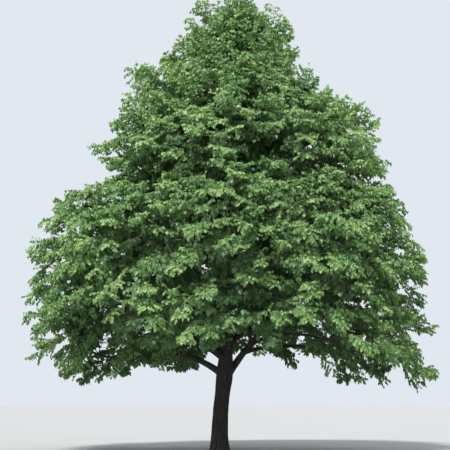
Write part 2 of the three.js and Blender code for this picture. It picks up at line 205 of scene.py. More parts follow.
# Clumps of the outer layer's tips, which hang over each other like roof tiles, with gaps under them
CLUMP_COUNT = 116
CLUMP_SCATTER = 0.35
CLUMP_FLATNESS = 1.4
CLUMP_WIDTH = 1.35
CLUMP_HEIGHT = 0.95
CLUMP_DEPTH = 0.85
CLUMP_SIDES = 0.45
CLUMP_SAG = 0.25
CLUMP_STAND = 0.2
CLUMP_TOP = 1.6

# Tufts that stand out of the crown or close its gaps, and one on the trunk's fork: their places, and the
# rise of their ends
TUFT_SIZE = 0.3
TUFT_PLUMES = 4
TUFTS = np.array(
    [
        [-2.9, -0.2, 12.5, 0.5],
        [5.15, 0.1, 11.1, 1.2],
        [4.5, -0.3, 11.2, 1.2],
        [6.85, 0.2, 4.35, 0.4],
        [6.85, -0.3, 2.4, 0.1],
        [-6.1, 0.2, 6.3, 0.2],
        [5.3, 0.1, 9.3, -0.1],
        [-4.0, -0.1, 9.9, 0],
        [-5.95, 0, 3.15, -0.3],
        [4.4, -1.0, 4.62, 0],
        [0.81, -3.0, 6.07, 0],
        [5.75, 0, 5.4, 0.1],
        [-2.41, -0.8, 11.25, 0.3],
        [4.65, 0, 8.9, 0],
        [2.94, -0.5, 9.91, 0],
        [2.1, -0.5, 10.58, 0],
        [-0.57, -0.8, 9.18, 0],
        [-2.0, -0.6, 3.05, -0.4],
        [-3.1, -0.5, 2.95, -0.3],
        [-5.2, 0, 8.1, 0.3],
        [-0.22, -0.6, 3.35, -0.6],
    ]
)

# Dark hollows in the crown's front, cleared of tips, with backing plumes behind them in the inner plumes'
# darker tints, partly painted shade: place, half width and half height
HOLLOWS = np.array(
    [
        [-0.08, -5.88, 5.12, 0.85, 0.36],
        [1.40, -5.63, 4.30, 0.43, 0.56],
        [-2.51, -5.11, 6.09, 0.72, 0.61],
        [-4.15, -3.75, 3.87, 1.00, 0.50],
        [-0.70, -4.35, 8.95, 0.62, 0.50],
        [-1.17, -5.67, 6.06, 0.43, 0.39],
        [-2.26, -3.58, 8.64, 0.55, 0.55],
        [1.00, -4.36, 9.66, 0.53, 0.45],
        [2.72, -3.95, 8.72, 0.60, 0.27],
        [1.10, -3.20, 11.58, 0.50, 0.46],
        [-0.53, -3.80, 10.90, 0.42, 0.28],
        [-1.58, -4.00, 9.65, 0.45, 0.28],
    ]
)
HOLLOW_DEPTH = 1.5
HOLLOW_DROP = 0.12
HOLLOW_BACKING = 2.0
HOLLOW_PLUMES = 9

# Plumes: where they leave twigs, boughs and trunk, and how they run
PLUME_SETBACK = 0.75
PLUME_PLACES = np.linspace(0.25, 1, 7)
BOUGH_PLACES = np.linspace(0.3, 1, 8)
TRUNK_PLACES = np.linspace(2.9, 4.5, 5)
OUT_OF_REACH = 1e3
PLUME_OUT = 0.75
PLUME_DROOP = 0.8
PLUME_LIFT = 0.5
DROOP_FROM = TREE_HEIGHT - 1.0
DROOP_FULL = LOWEST_CENTRE + 4.0
PLUME_BOW = 0.5
PLUME_LENGTHS = (0.8, 1.2)
PLUME_BARE = 0.05
PLUME_MIDDLE = 0.45
PLUME_SHOULDER = 0.45
PLUME_RADIUS = 0.009
PLUME_TIP_RADIUS = 0.003
PLUME_RINGS = 6
PLUME_SIDES = 3

# Sprigs: their places, the weights of the ways that they run, and their lengths
SPRIG_PLACE = 0.6
SPRIG_PLACE_SCATTER = 0.3
SPRIG_UPRIGHT = 0.7
SPRIG_ROLL = 0.6
SPRIG_FORWARD = 0.55
SPRIG_ASIDE = 0.8
SPRIG_FALL = 0.1
SPRIG_TIP_FALL = 0.3
SPRIG_SCATTER = 0.25
SPRIG_SHORTEST = 0.2
SPRIG_WIDEST = 0.36
SPRIG_RADIUS = 0.0028
SPRIG_SIDES = 3

# Leaves: their spacing and lengths, and the weights of the ways that they hang and face
LEAF_GAP = 0.048
LEAF_LENGTHS = (0.72, 1.15)
SHADE_LEAF = 1.6
LEAF_FORWARD = 0.4
LEAF_ASIDE = 0.6
LEAF_HANG = 0.8
LEAF_SCATTER = 0.5
FACE_BY_SPRIG = 0.5
FACE_BY_CROWN = 0.5
FACE_SCATTER = 1.25
# The leaf's outline: across, along and up from its blade, in shares of its length
LEAF_OUTLINE = np.array(
    [
        [0, 0.1, 0],
        [0.29, 0, 0.05],
        [0.45, 0.36, 0.1],
        [0, 1, -0.05],
        [-0.45, 0.36, 0.1],
        [-0.29, 0, 0.05],
    ]
)
LEAF_FACES = np.array([[0, 1, 2], [0, 2, 3], [0, 3, 4], [0, 4, 5]])
LARGEST_PIECE = 190000
# Tints from dark to light, and what a sprig's tone is made of. Inner plumes, the backing of the hollows
# among them, take darker tints, partly as shade leaves and partly as painted shade. Outer plumes take
# lighter ones, partly as sun leaves and partly as painted light
TINTS = ["deep", "dark", "middle", "light", "young"]
TONE_BY_PLUME = 0.5
TONE_BY_SPRIG = 0.25
TONE_BY_PLACE = 0.2
# Tone rising with height: partly younger leaves up high and partly painted light on the crown's top
YOUTH_AND_PAINTED_LIGHT_BY_HEIGHT = 0.1
TONE_START = 0.06
INNER_SHADE_LEAF_AND_PAINTED_SHADE = 0.42
OUTER_SUN_LEAF_AND_PAINTED_LIGHT = 0.2
GLOW_GAIN = 1.5

# Finishes: how rough they are, how much rougher noise makes them, and their shine
BARK_ROUGHNESS = 0.78
TWIG_ROUGHNESS = 0.62
WOOD_UNEVENNESS = 0.2
LEAF_ROUGHNESS = 0.38
LEAF_UNEVENNESS = 0.22
FLOOR_ROUGHNESS = 0.9
BARK_SHINE = 0.25
LEAF_SHINE = 0.5
# The bark's ridge tone, lighter on the ridges by wear and darker in the furrows as painted shade, its green
# film by noise, and what its bump is made of
LEAST_RIDGE_TONE = 0.45
FILM_FROM = 0.52
FILM_FULL = 0.7
BUMP_BY_RELIEF = 0.5
BUMP_BY_FLECK = 0.35
BUMP_BY_GRAIN = 0.4
BUMP_STRENGTH = 0.7
BUMP_DISTANCE = 0.012

# Stage
FLOOR_RINGS = np.array([0.0, 10, 30, 60, 120, 300])
FLOOR_SIDES = 96
FLOOR_DROP = 0.002
KEY_SPREAD = math.radians(8)
KEY_TURN = (math.radians(35), 0, math.radians(-25))
RIM_SPREAD = math.radians(40)
RIM_TURN = (math.radians(-50), 0, math.radians(-20))
SENSOR_WIDTH = 36
VIEW_END = 1000


def chance(draw, seed):
    """A number from 0 to 1 that looks random: the part after the point of a large multiple of a sine."""
    wave = np.sin(np.asarray(draw, float) * DRAW_TURN + seed * SEED_TURN) * WAVE_HEIGHT
    return wave - np.floor(wave)


def scatter(draw, seed):
    """The same, from -1 to 1."""
    return 2 * chance(draw, seed) - 1


def scatter_vector(draw, seed):
    """Three such numbers as a vector for each draw."""
    return np.stack([scatter(draw, seed + k) for k in range(3)], axis=-1)


def lerp(a, b, t):
    """The value a share t of the way from a to b."""
    return a + (b - a) * t


def smooth_step(low, high, x):
    """From 0 at low to 1 at high along an S-curve, and level beyond both."""
    t = np.clip((x - low) / (high - low), 0, 1)
    return t * t * (3 - 2 * t)


def bell(x, middle, reach):
    """1 at the middle, and falling away on both sides as a bell curve."""
    return np.exp(-(((x - middle) / reach) ** 2))


def unit(v):
    """Vectors of length one."""
    return v / np.maximum(np.linalg.norm(v, axis=-1, keepdims=True), 1e-9)


def bearings(sides):
    """Angles spread evenly round a ring."""
    return 2 * math.pi * np.arange(sides) / sides


def level_way(bearing):
    """Unit vectors that run level at bearings."""
    return np.stack([np.cos(bearing), np.sin(bearing), 0 * bearing], axis=-1)


def hand(order):
    """Left and right by turns: 1 for even orders and -1 for odd ones."""
    return 1 - 2 * (order % 2)


def smooth_line(xs, ys, x):
    """A cubic through the points (xs, ys), with the slope at each point that of the chord past it."""
    xs, ys = np.asarray(xs, float), np.asarray(ys, float)
    i = np.clip(np.searchsorted(xs, x) - 1, 0, len(xs) - 2)
    run = xs[i + 1] - xs[i]
    t = np.clip((x - xs[i]) / run, 0, 1)
    after = np.minimum(np.arange(len(xs)) + 1, len(xs) - 1)
    before = np.maximum(np.arange(len(xs)) - 1, 0)
    slopes = (ys[after] - ys[before]) / (xs[after] - xs[before])
    a, b, c, d = ys[i], slopes[i] * run, ys[i + 1], slopes[i + 1] * run
    return a + b * t + (3 * (c - a) - 2 * b - d) * t**2 + (2 * (a - c) + b + d) * t**3


def axis_at(z):
    """The middle of the trunk, and of the crown, at heights z."""
    z = np.asarray(z, float)
    right = smooth_line(LEAN_HEIGHTS, LEAN_RIGHT, z)
    return np.stack([right, smooth_line(LEAN_HEIGHTS, LEAN_BACK, z), z], axis=-1)


def crown_radius(z):
    """The crown's radius at heights z."""
    return smooth_line(CROWN_HEIGHTS, CROWN_RADII, z)


def underside_at(x):
    """The height of the crown's underside at places x across it."""
    return smooth_line(UNDERSIDE_PLACES, UNDERSIDE_HEIGHTS, x)


def round_axis(points):
    """How far points lie from the crown's middle, measured level, and their bearings from it."""
    away = points - axis_at(points[..., 2])
    return np.hypot(away[..., 0], away[..., 1]), np.arctan2(away[..., 1], away[..., 0])


def trunk_radius(z, bearing):
    """An even taper, a swelling where the boughs fork, and a lobed flare over the roots."""
    taper = (1 - z / LEADER_TOP) ** TRUNK_TAPER
    swell = FORK_SWELL * bell(z, FORK_HEIGHT, FORK_SWELL_REACH)
    lobes = 1 + ROOT_LOBE_DEPTH * np.cos(ROOT_LOBES * bearing)
    flare = 1 + ROOT_FLARE * lobes * np.exp(-z / ROOT_FLARE_HEIGHT)
    return (LEADER_TIP_RADIUS + (GROUND_RADIUS - LEADER_TIP_RADIUS) * taper + swell) * flare


def bezier(controls, t):
    """Points of quadratic curves: (1-t)^2 a + 2 (1-t) t b + t^2 c."""
    a, b, c = (controls[..., k, :] for k in range(3))
    t = np.asarray(t, float)[..., None]
    return (1 - t) ** 2 * a + 2 * (1 - t) * t * b + t**2 * c


def bezier_heading(controls, t):
    """The way those curves run: the change of that point with t, as a unit vector."""
    a, b, c = (controls[..., k, :] for k in range(3))
    t = np.asarray(t, float)[..., None]
    return unit((1 - t) * (b - a) + t * (c - b))


def even_path(controls, shares):
    """Points of one quadratic curve at shares of its length, found on a fine broken line."""
    fine = bezier(controls[None], np.linspace(0, 1, PATH_STEPS + 1))
    steps = np.linalg.norm(np.diff(fine, axis=0), axis=1)
    length = np.concatenate([[0], np.cumsum(steps)])
    return np.stack([np.interp(shares * length[-1], length, fine[:, k]) for k in range(3)], axis=-1)


def even_heights(count, lowest, highest):
    """Heights that share the crown's outer surface out evenly between two heights."""
    step = (highest - lowest) / PROFILE_STEPS
    z = lowest + (np.arange(PROFILE_STEPS) + 0.5) * step
    slope = (crown_radius(z + step) - crown_radius(z)) / step
    areas = np.concatenate([[0], np.cumsum(crown_radius(z) * np.hypot(1, slope))])
    wanted = (np.arange(count) + 0.5) / count * areas[-1]
    return lowest + np.searchsorted(areas, wanted) * step


def plan_masses():
    """The masses' places and sizes, from the lowest upwards by the golden angle, with the top mass last."""
    n = np.arange(MASS_COUNT)
    height = np.maximum(even_heights(MASS_COUNT, SHARED_FROM, HIGHEST_CENTRE), LOWEST_CENTRE)
    bearing = FIRST_BEARING + n * GOLDEN_ANGLE + BEARING_SCATTER * scatter(n, SEED)
    low = 1 - (height - LOWEST_CENTRE) / (HIGHEST_CENTRE - LOWEST_CENTRE)
    lift = FRONT_LIFT * low**2 * np.sin(bearing) ** 2
    z = height + lift + HEIGHT_SCATTER * low * scatter(n, SEED + 1)
    inset = MASS_INSET * (1 - INSET_SHRINK * (1 - low)) + REACH_SCATTER * chance(n, SEED + 2)
    reach = crown_radius(z) - inset
    size = 1 - MASS_SHRINK * (1 - low)
    centre = axis_at(z) + level_way(bearing) * np.maximum(reach, LEAST_REACH)[:, None]
    outward = np.vstack([level_way(bearing), [[1, 0, 0]]])
    return SimpleNamespace(
        number=np.arange(MASS_COUNT + 1),
        outward=outward,
        across=np.cross(UP, outward),
        centre=np.vstack([centre, axis_at(TREE_HEIGHT - TOP_MASS_DROP)]),
        radii=np.vstack([MASS_SIZE * size[:, None], np.full((1, 3), TOP_MASS_SIZE)]),
    )


def point_in(masses, mass, out, side, up):
    """Points of masses from shares of their depth, width and height."""
    shares = np.stack(np.broadcast_arrays(out, side, up), axis=-1) * masses.radii[mass]
    return (
        masses.centre[mass]
        + shares[..., 0:1] * masses.outward[mass]
        + shares[..., 1:2] * masses.across[mass]
        + shares[..., 2:3] * UP
    )


def is_own(masses, mass, points):
    """Whether points are inside the crown and the mass's round outline, and nearest to its centre."""
    away = points - masses.centre[mass]
    shares = [(away * way[mass]).sum(-1) for way in (masses.outward, masses.across)] + [away[..., 2]]
    round_sum = sum((share / masses.radii[mass][..., k]) ** 2 for k, share in enumerate(shares))
    z = points[..., 2]
    in_height = (z > underside_at(points[..., 0])) & (z < TREE_HEIGHT)
    own = (round_sum <= 1) & in_height & (round_axis(points)[0] < crown_radius(z))
    for other in masses.number:
        way = masses.centre[other] - masses.centre[mass]
        length = np.linalg.norm(way, axis=-1)
        own &= (mass == other) | ((away * way).sum(-1) < (length / 2 - CELL_GAP) * length)
    return own


def bough_line(masses, mass, start, arch):
    """A bough's three control points: its start inside the wood, an elbow, and its entry into its mass."""
    tip = point_in(masses, mass, -BOUGH_ENTRY, 0, -BOUGH_ENTRY_DROP)
    elbow = lerp(start, tip, BOUGH_ELBOW) + arch * np.linalg.norm(tip - start) * UP
    return np.stack([start, elbow, tip])


def bough_taper(foot, share):
    """A bough's radius along it: a collar at its foot, then an even taper."""
    collar = 1 + BOUGH_COLLAR * np.exp(-share / BOUGH_COLLAR_REACH)
    return foot * (1 - (1 - BOUGH_TIP_SHARE) * share) * collar


def plan_boughs(masses):
    """The boughs' control points and foot radii, one bough for each mass but the top one."""
    n = np.arange(MASS_COUNT)
    heights = lerp(LOWEST_BOUGH, HIGHEST_BOUGH, (n / (MASS_COUNT - 1)) ** BOUGH_CLIMB)
    feet = BOUGH_SHARE * trunk_radius(heights, 0)
    lines = np.stack([bough_line(masses, k, axis_at(heights[k]), BOUGH_ARCH) for k in n])
    lines[0] = bough_line(masses, 0, axis_at(LEFT_LIMB_HEIGHT), LEFT_LIMB_ARCH)
    limb = bough_line(masses, FORK_LIMB, axis_at(FORK_LIMB_HEIGHT), 0)
    limb[1, 2] += FORK_LIMB_STEEPNESS * (limb[2, 2] - FORK_LIMB_HEIGHT) * BOUGH_ELBOW
    lines[FORK_LIMB] = limb
    feet[FORK_LIMB] = FORK_LIMB_RADIUS
    for bough, start in zip(FORKED_BOUGHS, even_path(limb, np.array(FORKED_AT))):
        lines[bough] = bough_line(masses, bough, start, BOUGH_ARCH)
        feet[bough] = FORK_LIMB_RADIUS * FORKED_SHARE
    return SimpleNamespace(lines=lines, feet=feet)


def plan_stems(masses, boughs):
    """The masses' stems, which carry on from the boughs' tips, and from the leader's top."""
    start = np.vstack([boughs.lines[:, 2], axis_at(LEADER_TOP)])
    heading = np.vstack([unit(boughs.lines[:, 2] - boughs.lines[:, 1]), UP])
    out = np.append(np.full(MASS_COUNT, STEM_END), 0)
    end = point_in(masses, masses.number, out, 0, STEM_RISE)
    bend = start + heading * STEM_BEND * np.linalg.norm(end - start, axis=1)[:, None]
    feet = np.append(bough_taper(boughs.feet, 1.0), LEADER_TIP_RADIUS)
    return SimpleNamespace(lines=np.stack([start, bend, end], axis=1), feet=feet)


def outline_radius(z, bearing):
    """The radius of the outline that the tips keep to.

    Its profile is lifted and lowered in waves round the crown. Its skirt and top reach further out on the
    right, and its waist is pinched on either side.
    """
    skirt_lean = SKIRT_LEAN * (1 - smooth_step(CROWN_FOOT, SKIRT_TOP, z))
    top_lean = TOP_LEAN * smooth_step(TOP_LEAN_FROM, TOP_LEAN_FULL, z)
    profile = smooth_line(TIP_HEIGHTS, TIP_RADII, z + WAIST_WAVE * np.sin(WAIST_WAVES * bearing))
    right = np.cos(bearing)
    share_out = 1 + (skirt_lean + top_lean) * right
    for side, share, height, reach in PINCHES:
        share_out = share_out - share * bell(z, height, reach) * np.maximum(side * right, 0)
    return profile * share_out


def lowest_tip(points):
    """The height that tips keep above: the crown's underside, lifted at the front."""
    low = underside_at(points[:, 0])
    front = np.maximum(low, smooth_line(FRONT_PLACES, FRONT_HEIGHTS, points[:, 0]))
    return lerp(low, front, smooth_step(FRONT_FROM, FRONT_FULL, -points[:, 1]))


def has_room(masses, mass, ends):
    """Whether twigs may end at points: in the space of their own mass, and well behind the leaves' tips."""
    reach, bearing = round_axis(ends)
    behind = reach < outline_radius(ends[..., 2], bearing) - TWIG_DEPTH
    above = ends[..., 2] > lowest_tip(ends) + TWIG_LIFT
    return is_own(masses, mass, ends) & behind & above


def plan_twigs(masses, stems, count):
    """The masses' twigs: ends spread over each mass by the golden angle, roots behind them on the stem.

    A twig that would leave its mass's space is cut short, and one with no room is left out.
    """
    k = np.arange(math.ceil(TWIG_COVER * count))
    mass, k = (grid.ravel() for grid in np.meshgrid(masses.number, k, indexing="ij"))
    turn = 2 * math.pi * chance(mass, SEED + 3) + k * GOLDEN_ANGLE
    up = 1 - (2 * k + 1) / (TWIG_COVER * count)
    level = np.sqrt(np.maximum(1 - up**2, 0))
    out, across = level * np.cos(turn), level * np.sin(turn)
    tip = point_in(masses, mass, out * TWIG_REACH, across * TWIG_REACH, up * TWIG_REACH)
    run = stems.lines[mass, 2] - stems.lines[mass, 0]
    nearest = ((tip - stems.lines[mass, 0]) * run).sum(-1) / (run**2).sum(-1)
    root = bezier(stems.lines[mass], np.clip(nearest - TWIG_PULL_BACK, TWIG_FIRST, TWIG_LAST))
    inside = np.stack([has_room(masses, mass, lerp(root, tip, cut)) for cut in TWIG_CUTS])
    cut = np.array(TWIG_CUTS)[np.argmax(inside, axis=0)]
    kept = (out >= TWIG_INNER_LIMIT) & inside.any(axis=0)
    mass, root, end = mass[kept], root[kept], lerp(root, tip, cut[:, None])[kept]
    arch = TWIG_ARCH * np.linalg.norm(end - root, axis=1)[:, None] * UP
    return SimpleNamespace(mass=mass, lines=np.stack([root, lerp(root, end, 0.5) + arch, end], axis=1))


def at_reach(z, bearing, reach):
    """Points at heights and bearings, a reach away from the crown's middle."""
    return axis_at(np.minimum(z, TREE_HEIGHT)) + reach[:, None] * level_way(bearing)


def in_clumps(surface):
    """How far the tips at points of the outline stand in, and sag, by their place in the nearest clump.

    A clump is a dome: it falls back with the square of the way to its sides and to its upper edge.
    """
    n = np.arange(CLUMP_COUNT)
    z = even_heights(CLUMP_COUNT, CROWN_FOOT, TREE_HEIGHT) + CLUMP_SCATTER * scatter(n, SEED + 16)
    bearing = n * GOLDEN_ANGLE + CLUMP_SCATTER * scatter(n, SEED + 17)
    centre = at_reach(z, bearing, outline_radius(z, bearing))
    away = surface[:, None] - centre[None]
    across = np.hypot(away[..., 0], away[..., 1])
    clump = np.argmin(np.hypot(across, CLUMP_FLATNESS * away[..., 2]), axis=1)
    row = np.arange(len(surface))
    aside = across[row, clump] / CLUMP_WIDTH
    up = np.maximum(away[row, clump, 2] / CLUMP_HEIGHT, 0)
    share = CLUMP_SIDES * aside**2 + up**2
    depth = CLUMP_DEPTH * np.minimum(share, 1) + CLUMP_STAND * scatter(clump, SEED + 18)
    depth = depth * np.clip((TREE_HEIGHT - surface[:, 2]) / CLUMP_TOP, 0, 1)
    return depth, CLUMP_SAG * np.minimum(aside, 1) ** 2


def hollow_sizes(hollows, depth, drop):
    """The half width, half depth and half height of hollows."""
    return np.stack([hollows[:, 3], np.full(len(hollows), depth), hollows[:, 4] + drop], axis=-1)


def in_hollows(points):
    """Whether points lie in one of the crown's hollows, each an oval of its own width and height."""
    sizes = hollow_sizes(HOLLOWS, HOLLOW_DEPTH, HOLLOW_DROP)
    away = (points[:, None] - HOLLOWS[None, :, :3] + HOLLOW_DROP * UP) / sizes[None]
    return ((away**2).sum(-1) < 1).any(axis=1)


def spread_tips(count):
    """Tips spread over the crown in layers, above its underside, thinner low down and out of its hollows."""
    n = np.arange(count)
    z = even_heights(count, CROWN_FOOT, TREE_HEIGHT) + TIP_SCATTER * scatter(n, SEED + 11)
    bearing = n * GOLDEN_ANGLE + TIP_TURN * scatter(n, SEED + 12)
    layer = LAYER_DEPTHS[n % len(LAYER_DEPTHS)]
    radius = outline_radius(z, bearing)
    clump_depth, sag = in_clumps(at_reach(z, bearing, radius))
    long_shoot = LONG_SHOOT_REACH * radius * (chance(n, SEED + 15) < LONG_SHOOTS)
    reach = radius - np.where(layer > 0, layer, clump_depth - long_shoot)
    tip = at_reach(z, bearing, np.maximum(reach, TIP_LEAST_REACH)) - sag[:, None] * UP
    slope = (crown_radius(z + SLOPE_STEP) - crown_radius(z - SLOPE_STEP)) / (2 * SLOPE_STEP)
    rise = lerp(PLUME_LIFT, -PLUME_DROOP, smooth_step(DROOP_FROM, DROOP_FULL, z))
    above = tip[:, 2] > lowest_tip(tip) + UNDERSIDE_SCATTER * scatter(n, SEED + 13)
    share = lerp(*AIRY_SHARES, smooth_step(0, AIRY_RISE, tip[:, 0]))
    airy = (tip[:, 2] < AIRY_BELOW) & (chance(n, SEED + 20) < share)
    kept = above & ~airy & ~in_hollows(tip) & ((layer == 0) | (reach > TIP_LEAST_REACH))
    normal = unit(level_way(bearing) - slope[:, None] * UP)
    return SimpleNamespace(tip=tip[kept], normal=normal[kept], rise=rise[kept], inner=layer[kept] > 0)


def gathered_tips(place, size, behind, rise, inner, seed):
    """Tips scattered about places, a way behind them, that face away from the crown's middle."""
    tip = place + size * scatter_vector(np.arange(len(place)), seed) + [0, behind, 0]
    normal = unit((tip - axis_at(tip[:, 2])) * [1, 1, 0])
    return SimpleNamespace(tip=tip, normal=normal, rise=rise, inner=np.full(len(tip), inner))


def plan_tips(count):
    """All tips, the crown's outward normal there, their ends' rise, and which are inside the crown.

    After the spread ones come those of the tufts and those of the backing behind the hollows.
    """
    tufts = np.repeat(TUFTS, TUFT_PLUMES, axis=0)
    backs = np.repeat(HOLLOWS, HOLLOW_PLUMES, axis=0)
    back_sizes = hollow_sizes(backs, TUFT_SIZE, 0)
    level = np.zeros(len(backs))
    groups = [
        spread_tips(count),
        gathered_tips(tufts[:, :3], TUFT_SIZE, 0, tufts[:, 3], False, SEED + 19),
        # The backing plumes count as inner, so they take darker tints: painted shade in the hollows
        gathered_tips(backs[:, :3], back_sizes, HOLLOW_BACKING, level, True, SEED + 23),
    ]
    keys = ("tip", "normal", "rise", "inner")
    joined = {key: np.concatenate([getattr(group, key) for group in groups]) for key in keys}
    return SimpleNamespace(**joined)


def plan_plumes(masses, boughs, twigs, count, length):
    """The plumes: each grows from the best placed twig of its mass, or bough, and arches over to its tip.

    Its end runs the way of the crown's normal, and falls low in the crown and rises near its top.
    """
    tips = plan_tips(count)
    tip = tips.tip
    mass = np.argmin(np.linalg.norm(tip[:, None] - masses.centre[None], axis=-1), axis=1)
    twig_places = bezier(twigs.lines[:, None], PLUME_PLACES).reshape(-1, 3)
    bough_places = bezier(boughs.lines[:, None], BOUGH_PLACES).reshape(-1, 3)
    places = np.vstack([twig_places, bough_places, axis_at(TRUNK_PLACES)])
    owner = np.full(len(places), -1)
    owner[: len(twig_places)] = np.repeat(twigs.mass, len(PLUME_PLACES))
    far = np.linalg.norm((tip - PLUME_SETBACK * tips.normal)[:, None] - places[None], axis=-1)
    far = far + OUT_OF_REACH * ((owner >= 0) & (mass[:, None] != owner[None]))
    root = places[np.argmin(far, axis=1)]
    end_way = unit(PLUME_OUT * tips.normal + tips.rise[:, None] * UP)
    span = np.linalg.norm(tip - root, axis=1)
    bend = tip - PLUME_BOW * span[:, None] * end_way
    leafy = length * lerp(*PLUME_LENGTHS, chance(np.arange(len(tip)), SEED + 14))
    return SimpleNamespace(
        mass=mass,
        lines=np.stack([root, bend, tip], axis=1),
        start=np.clip(1 - leafy / span, PLUME_BARE, 1),
        length=np.minimum(leafy, span),
        normal=tips.normal,
        inner=tips.inner,
    )


def plume_points(plumes, which, share):
    """Points a share of the way along the plumes' leafy ends."""
    return bezier(plumes.lines[which], lerp(plumes.start[which], 1, share))


def plan_sprigs(plumes, count):
    """Side sprigs, left and right by turns along each plume, as long as a kite's width allows there."""
    plume = np.repeat(np.arange(len(plumes.mass)), count)
    order = np.tile(np.arange(count), len(plumes.mass))
    draw = np.arange(len(plume))
    share = (order + SPRIG_PLACE + SPRIG_PLACE_SCATTER * scatter(draw, SEED + 21)) / count
    kite = np.where(share < PLUME_SHOULDER, share / PLUME_SHOULDER, (1 - share) / (1 - PLUME_SHOULDER))
    heading = bezier_heading(plumes.lines[plume], lerp(plumes.start[plume], 1, share))
    across = unit(np.cross(heading, plumes.normal[plume] + SPRIG_UPRIGHT * UP))
    face = np.cross(across, heading)
    roll = SPRIG_ROLL * scatter(draw, SEED + 25)
    aside = (hand(order) * np.cos(roll))[:, None] * across + np.sin(roll)[:, None] * face
    fall = SPRIG_FALL + SPRIG_TIP_FALL * share
    way = (
        SPRIG_FORWARD * heading
        + SPRIG_ASIDE * aside
        - fall[:, None] * UP
        + SPRIG_SCATTER * scatter_vector(draw, SEED + 22)
    )
    return SimpleNamespace(
        plume=plume,
        mass=plumes.mass[plume],
        share=share,
        root=plume_points(plumes, plume, share),
        way=unit(way),
        face=face,
        length=plumes.length[plume] * (SPRIG_SHORTEST + SPRIG_WIDEST * np.clip(kite, 0, 1)),
    )


def grow(crown):
    """The whole plan of the foliage's wood, from the masses down to the sprigs."""
    masses = plan_masses()
    boughs = plan_boughs(masses)
    stems = plan_stems(masses, boughs)
    twigs = plan_twigs(masses, stems, crown.twigs)
    plumes = plan_plumes(masses, boughs, twigs, crown.plumes, crown.plume_length)
    sprigs = plan_sprigs(plumes, crown.sprigs)
    return SimpleNamespace(stems=stems, twigs=twigs, plumes=plumes, sprigs=sprigs)


def plan_leaves(plumes, sprigs, leaf_length):
    """Leaves, left and right by turns along each sprig, with one at its tip, hanging from it.

    A blade's normal is a sum of its sprig's face, the way out from the plume's middle, so that a plume is
    rounded like a dome, the crown's normal, and some scatter.
    """
    size = np.where(plumes.inner[sprigs.plume], SHADE_LEAF, 1)
    number = np.ceil(sprigs.length / (LEAF_GAP * size)).astype(int) + 1
    sprig, order = np.nonzero(np.arange(number.max())[None, :] < number[:, None])
    draw = np.arange(len(sprig))
    share = 1 - order / number[sprig]
    way = sprigs.way[sprig]
    root = sprigs.root[sprig] + way * (sprigs.length[sprig] * share)[:, None]
    plume = sprigs.plume[sprig]
    face = sprigs.face[sprig]
    dome = (root - plume_points(plumes, plume, PLUME_MIDDLE)) / plumes.length[plume][:, None]
    aside = np.where(order == 0, 0, hand(order))[:, None]
    along = unit(
        LEAF_FORWARD * way
        + LEAF_ASIDE * aside * np.cross(way, face)
        - LEAF_HANG * UP
        + LEAF_SCATTER * scatter_vector(draw, SEED + 31)
    )
    normal = (
        FACE_BY_SPRIG * face
        + dome
        + FACE_BY_CROWN * plumes.normal[plume]
        + FACE_SCATTER * scatter_vector(draw, SEED + 34)
    )
    across = unit(np.cross(along, normal))
    length = leaf_length * size[sprig] * lerp(*LEAF_LENGTHS, chance(draw, SEED + 37))
    frames = np.stack([across, along, np.cross(across, along)], axis=1)
    shape = LEAF_OUTLINE[None] * length[:, None, None]
    return SimpleNamespace(
        mass=sprigs.mass[sprig],
        sprig=sprig,
        points=root[:, None] + np.einsum("nij,njk->nik", shape, frames),
    )


def ring_corners(rings, sides):
    """The corners of the squares between rings of points: two on a ring, and two on the next, in turn."""
    i, k = (grid.ravel() for grid in np.meshgrid(np.arange(rings - 1), np.arange(sides), indexing="ij"))
    next_k = (k + 1) % sides
    return i * sides + k, i * sides + next_k, (i + 1) * sides + next_k, (i + 1) * sides + k


def ring_faces(rings, sides):
    """Two triangles for each of those squares."""
    a, b, c, d = ring_corners(rings, sides)
    return np.concatenate([np.stack([a, b, c], axis=1), np.stack([a, c, d], axis=1)])


def tubes(paths, radii, sides):
    """Closed tapering tubes: rings square to each path, a point at its end and a cap at its foot."""
    count, rings = radii.shape
    heading = unit(np.gradient(paths, axis=1))
    reference = np.where(np.abs(heading[..., 2:3]) > STEEP_HEADING, [1.0, 0, 0], UP)
    side = unit(np.cross(heading, reference))
    rise = np.cross(heading, side)
    angle = bearings(sides)
    spokes = np.cos(angle)[:, None] * side[:, :, None] + np.sin(angle)[:, None] * rise[:, :, None]
    ring = (paths[:, :, None] + radii[:, :, None, None] * spokes)[:, :-1]
    points = np.concatenate([ring.reshape(count, -1, 3), paths[:, -1:]], axis=1)
    last, spoke = (rings - 2) * sides, np.arange(sides)
    apex = np.full(sides, (rings - 1) * sides)
    tip = np.stack([last + spoke, last + (spoke + 1) % sides, apex], axis=1)
    fan = np.arange(1, sides - 1)
    cap = np.stack([0 * fan, fan + 1, fan], axis=1)
    faces = np.concatenate([ring_faces(rings - 1, sides), tip, cap])
    per_tube = points.shape[1]
    return points.reshape(-1, 3), (faces[None] + per_tube * np.arange(count)[:, None, None]).reshape(-1, 3)


def curve_tubes(lines, foot, tip, rings, sides):
    """Tubes along quadratic curves, from a foot radius, or one for each, to a tip radius."""
    at = np.linspace(0, 1, rings)
    paths = bezier(lines[:, None], at)
    radii = lerp(np.reshape(foot, (-1, 1)), tip, at)
    return tubes(paths, np.broadcast_to(radii, paths.shape[:2]), sides)


def bark_relief(around, along, ridges):
    """Interlacing bark ridges, from 0 in a furrow to 1: the lesser of two bent |sine| waves, in plates."""
    bend = sum(size * np.sin(up * along + turns * around + start) for size, up, turns, start in BARK_BENDS)
    first = np.abs(np.sin(ridges / 2 * around + bend))
    second = np.abs(np.sin(ridges / 2 * around - CROSS_BEND * bend + CROSS_LEAN * along))
    plates = np.sin(PLATE_TURNS * along + PLATE_BEND * np.sin(PLATE_LOBES * around))
    ridge = np.minimum(first, lerp(CROSS_LEAST, 1, second)) ** RIDGE_POWER
    return ridge * (1 - PLATE_DEPTH + PLATE_DEPTH * plates)


